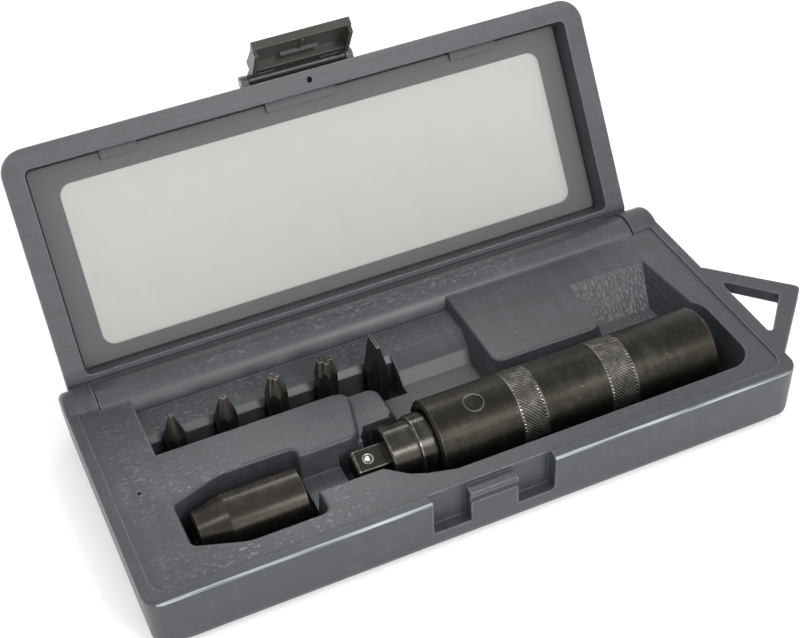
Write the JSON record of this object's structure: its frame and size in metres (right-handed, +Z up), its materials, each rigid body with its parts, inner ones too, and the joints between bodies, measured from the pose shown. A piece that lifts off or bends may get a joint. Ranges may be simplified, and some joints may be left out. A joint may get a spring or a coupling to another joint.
{
  "type": "hand impact driver set",
  "caption": "Hand impact driver with square drive, bit holder and bits, lying in a moulded case with a hinged window lid and a latch.",
  "frame": {"origin": "centre of the case's underside", "axes": "+Z up, +X along the case to its carrying loop, +Y from the latch side to the hinge"},
  "size_m": [0.287, 0.1804, 0.1236],
  "materials": {
    "case_plastic": "blow-moulded blue-grey plastic, fine grain",
    "lid_plastic": "blow-moulded blue-grey plastic, light streaks",
    "window_sheet": "frosted translucent sheet",
    "latch_plastic": "dark olive moulded plastic",
    "pin_steel": "plain drawn steel",
    "black_steel": "black oxide steel, satin",
    "pin_black": "black oxide steel",
    "spindle_steel": "black oxide steel, bright worn edges",
    "holder_steel": "black oxide steel, bronze tint",
    "bit_steel": "black oxide tool steel",
    "ball_steel": "polished bearing ball",
    "spring_steel": "oiled spring steel",
    "bush_bronze": "sintered bronze",
    "seal_rubber": "black rubber ring"
  },
  "bodies": {
    "case": {"case_base": "case_plastic", "hinge_pin_left": "pin_steel", "hinge_pin_right": "pin_steel"},
    "lid": {"lid_frame": "lid_plastic", "window_sheet": "window_sheet", "latch_pin": "pin_steel"},
    "latch": {"latch": "latch_plastic"},
    "driver": {"driver_body": "black_steel", "cross_pin": "pin_black", "front_bush": "bush_bronze", "retaining_ring": "spring_steel", "spindle_seal": "seal_rubber", "return_spring": "spring_steel"},
    "washer": {"thrust_washer": "spring_steel"},
    "spindle": {"cam_spindle": "spindle_steel", "detent_spring": "spring_steel"},
    "ball": {"detent_ball": "ball_steel"},
    "holder": {"bit_holder": "holder_steel", "bit_ring": "spring_steel"},
    "bit_cross_small": {"bit_cross_small": "bit_steel"},
    "bit_cross_medium": {"bit_cross_medium": "bit_steel"},
    "bit_cross_large": {"bit_cross_large": "bit_steel"},
    "bit_cross_blunt": {"bit_cross_blunt": "bit_steel"},
    "bit_flat": {"bit_flat": "bit_steel"}
  },
  "joints": [
    {"name": "lid_hinge", "type": "hinge", "parent": "case", "child": "lid", "pos_m": [0, 0.0492, 0.0168], "axis": [-1, 0, 0], "range_deg": [-120.3, 0]},
    {"name": "latch_hinge", "type": "hinge", "parent": "lid", "child": "latch", "pos_m": [0, 0.11639, 0.10066], "axis": [-1, 0, 0], "range_deg": [-20, 72]},
    {"name": "driver_lift", "type": "slide", "parent": "case", "child": "driver", "axis": [0, 0, 1], "range_m": [0, 0.06]},
    {"name": "impact_stroke", "type": "slide", "parent": "driver", "child": "washer", "axis": [1, 0, 0], "range_m": [0, 0.006], "stiffness_N_per_m": 3000, "springref_m": -0.004, "deforming": ["return_spring"]},
    {"name": "cam_turn", "type": "hinge", "parent": "washer", "child": "spindle", "pos_m": [0, -0.0249, 0.0181], "axis": [1, 0, 0], "range_deg": [0, 20]},
    {"name": "ball_press", "type": "slide", "parent": "spindle", "child": "ball", "axis": [0, 0.3907, -0.9205], "range_m": [0, 0.0007], "stiffness_N_per_m": 800, "springref_m": -0.001, "deforming": ["detent_spring"]},
    {"name": "holder_lift", "type": "slide", "parent": "case", "child": "holder", "axis": [0, 0, 1], "range_m": [0, 0.06]},
    {"name": "bit_cross_small_lift", "type": "slide", "parent": "case", "child": "bit_cross_small", "axis": [0, 0, 1], "range_m": [0, 0.06]},
    {"name": "bit_cross_medium_lift", "type": "slide", "parent": "case", "child": "bit_cross_medium", "axis": [0, 0, 1], "range_m": [0, 0.06]},
    {"name": "bit_cross_large_lift", "type": "slide", "parent": "case", "child": "bit_cross_large", "axis": [0, 0, 1], "range_m": [0, 0.06]},
    {"name": "bit_cross_blunt_lift", "type": "slide", "parent": "case", "child": "bit_cross_blunt", "axis": [0, 0, 1], "range_m": [0, 0.06]},
    {"name": "bit_flat_lift", "type": "slide", "parent": "case", "child": "bit_flat", "axis": [0, 0, 1], "range_m": [0, 0.06]}
  ],
  "couplings": [
    {"joint": "cam_turn", "follows": "impact_stroke", "rad_per_m": 58.178}
  ]
}
